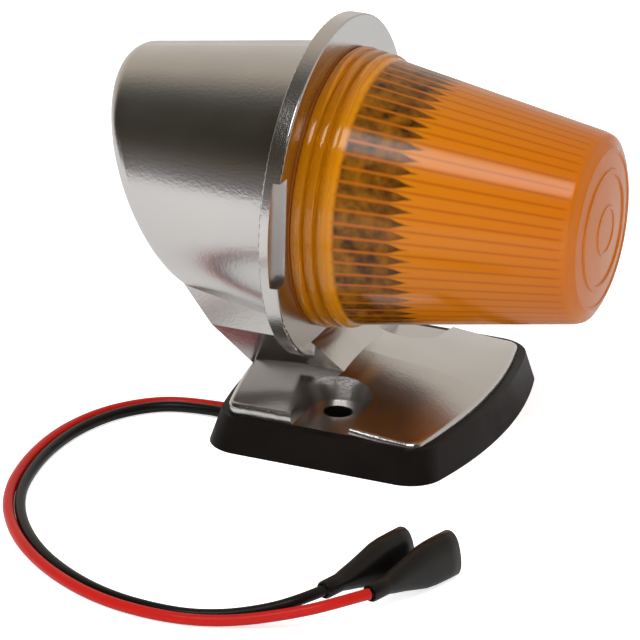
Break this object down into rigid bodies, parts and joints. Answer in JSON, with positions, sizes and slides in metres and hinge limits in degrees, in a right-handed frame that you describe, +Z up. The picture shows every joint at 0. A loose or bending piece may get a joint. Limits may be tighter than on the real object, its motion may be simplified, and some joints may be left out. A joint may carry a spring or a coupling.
{
  "type": "car side lamp",
  "caption": "Side lamp with a chrome cup on a screw-down foot, twist-off amber lens, sprung bayonet bulb holder and flying leads that end in sleeved terminals.",
  "frame": {"origin": "midway between the two mounting screw holes, on the underside of the rubber gasket", "axes": "+X along the lens axis towards the lens end, +Y across the lamp through the far screw hole, +Z up from the mounting face"},
  "size_m": [0.1033, 0.1443, 0.082],
  "materials": {
    "chrome_plate": "bright chrome plating on a zinc die casting",
    "rubber_black": "matt moulded rubber",
    "lens_amber": "transparent amber acrylic, polished outside and fluted inside",
    "zinc_steel": "zinc-plated steel",
    "spring_steel": "bare spring steel",
    "tinned_brass": "tin-plated brass strip",
    "nickel_brass": "nickel-plated brass",
    "bare_brass": "bare brass",
    "fibre_board": "vulcanised fibre",
    "black_glass": "black glass insulator",
    "solder": "dull solder",
    "clear_glass": "clear glass",
    "nickel_wire": "nickel wire",
    "tungsten": "tungsten coil",
    "pvc_red": "satin PVC insulation",
    "pvc_black": "satin PVC insulation",
    "sleeve_black": "soft PVC sleeve, satin"
  },
  "bodies": {
    "housing_body": {"housing": "chrome_plate", "base_gasket": "rubber_black", "lens_seal": "rubber_black", "holder_plate": "zinc_steel", "holder_screws": "zinc_steel", "holder_washers": "spring_steel", "ring_terminal_earth": "tinned_brass", "holder_shell": "nickel_brass", "holder_end_disc": "fibre_board", "live_rivet": "bare_brass", "live_tab": "bare_brass", "receptacle_live": "tinned_brass", "contact_spring": "spring_steel", "lead_red_inside": "pvc_red", "lead_black_inside": "pvc_black", "wire_red": "pvc_red", "wire_black": "pvc_black", "sleeve_red_wire": "sleeve_black", "sleeve_black_wire": "sleeve_black", "terminal_red_wire": "tinned_brass", "terminal_black_wire": "tinned_brass"},
    "lens_body": {"lens": "lens_amber"},
    "bulb_body": {"bulb_cap": "nickel_brass", "bulb_pins": "nickel_brass", "bulb_insulator": "black_glass", "bulb_contact": "solder", "bulb_glass": "clear_glass", "bulb_stem": "clear_glass", "bulb_posts": "nickel_wire", "bulb_filament": "tungsten"},
    "centre_contact_body": {"contact_plunger": "bare_brass", "holder_carrier": "fibre_board"}
  },
  "joints": [
    {"name": "lens_twist", "type": "hinge", "parent": "housing_body", "child": "lens_body", "pos_m": [0, 0, 0.047], "axis": [1, 0, 0], "range_deg": [0, 25]},
    {"name": "bulb_push", "type": "slide", "parent": "housing_body", "child": "bulb_body", "axis": [-1, 0, 0], "range_m": [0, 0.0015], "stiffness_N_per_m": 1500, "springref_m": -0.003},
    {"name": "contact_push", "type": "slide", "parent": "housing_body", "child": "centre_contact_body", "axis": [-1, 0, 0], "range_m": [0, 0.0015], "stiffness_N_per_m": 1500, "springref_m": -0.003, "deforming": ["contact_spring"]}
  ],
  "couplings": [
    {"joint": "contact_push", "follows": "bulb_push", "ratio": 1}
  ]
}
